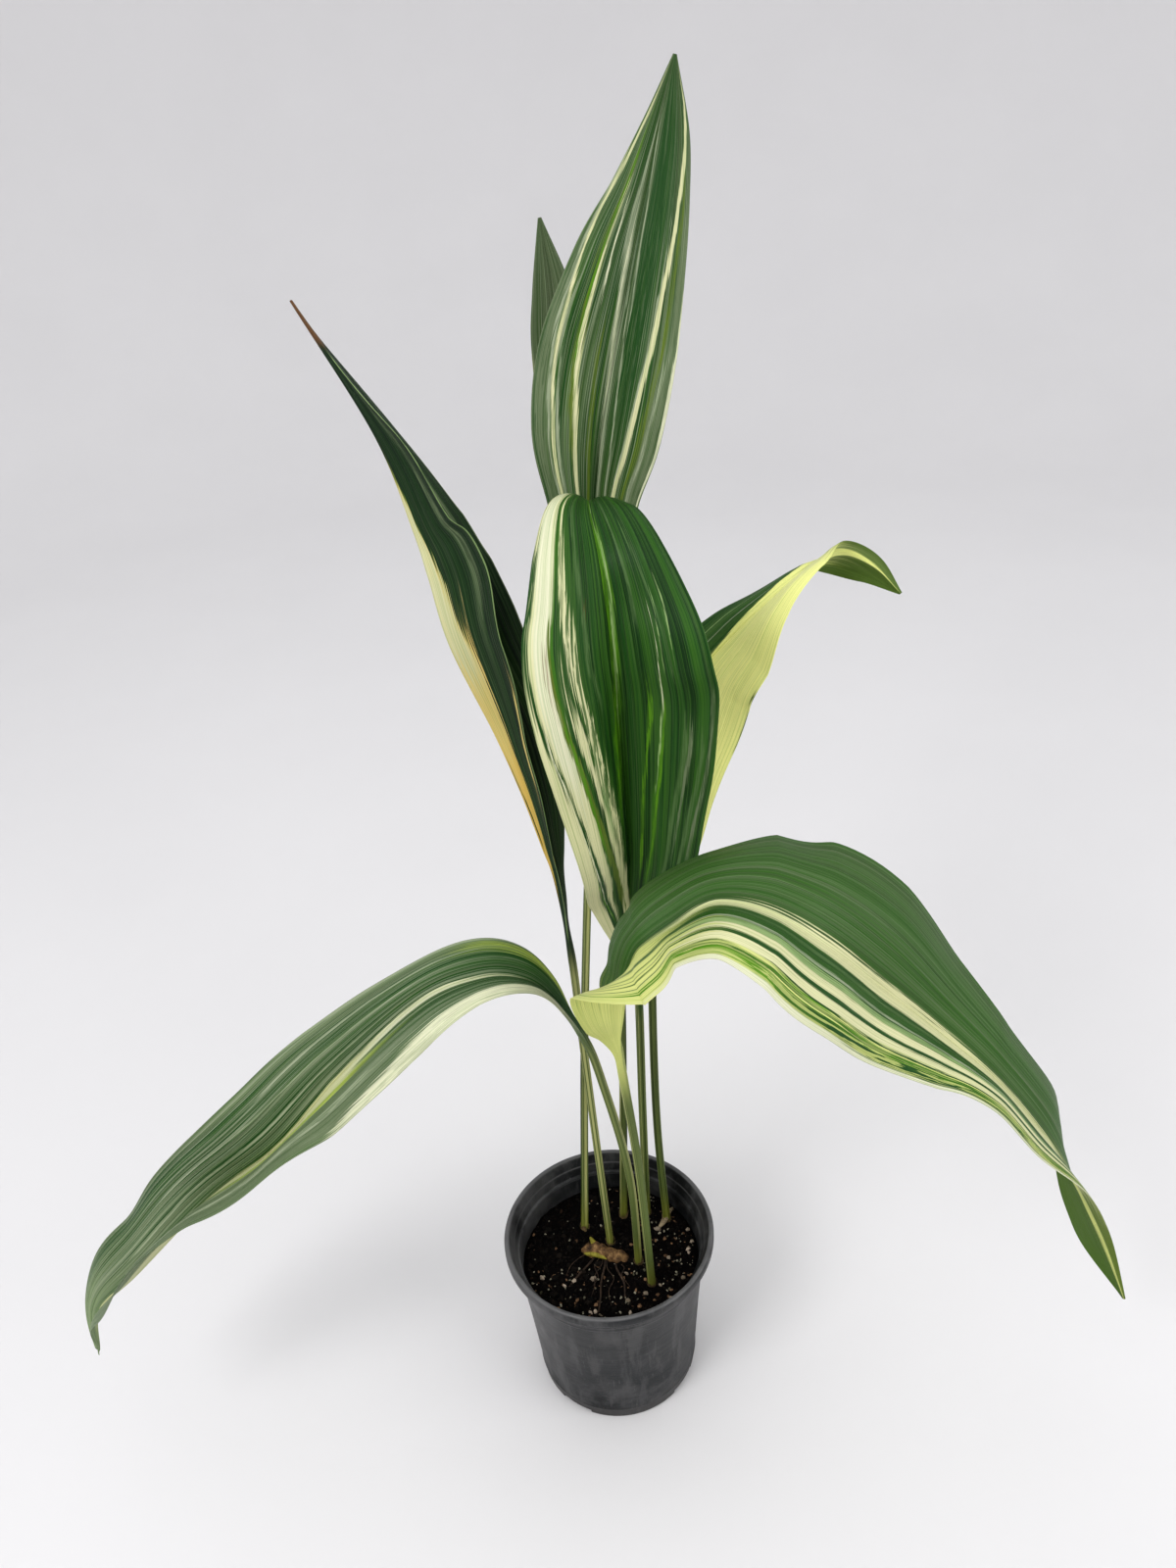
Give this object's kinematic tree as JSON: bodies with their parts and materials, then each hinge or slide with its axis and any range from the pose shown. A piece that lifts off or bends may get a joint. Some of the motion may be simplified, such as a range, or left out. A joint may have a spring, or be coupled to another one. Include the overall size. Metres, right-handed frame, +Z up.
{
  "type": "potted cast iron plant",
  "caption": "Cast iron plant in a tapered black nursery pot: long strap leaves with cream streaks stand on slender stalks, two of them arching low to the left and the right.",
  "frame": {"origin": "centre of the flat underside of the pot", "axes": "+Z up along the pot's axis, -Y towards the front of the plant as pictured, +X to its right"},
  "size_m": [0.7102, 0.2854, 0.8483],
  "materials": {
    "pot_plastic": "satin",
    "potting_mix": "matte",
    "rootstock": "matte",
    "leaf_left_arching": "satin",
    "leaf_right_arching": "satin",
    "leaf_front": "satin",
    "leaf_tallest": "satin",
    "leaf_back": "satin",
    "leaf_narrow": "satin",
    "leaf_right_twisted": "satin"
  },
  "bodies": {
    "root": {"pot": "pot_plastic", "soil": "potting_mix", "rhizome": "rootstock", "leaf_left_arching": "leaf_left_arching", "leaf_right_arching": "leaf_right_arching", "leaf_front": "leaf_front", "leaf_tallest": "leaf_tallest", "leaf_back": "leaf_back", "leaf_narrow": "leaf_narrow", "leaf_right_twisted": "leaf_right_twisted"}
  },
  "joints": []
}
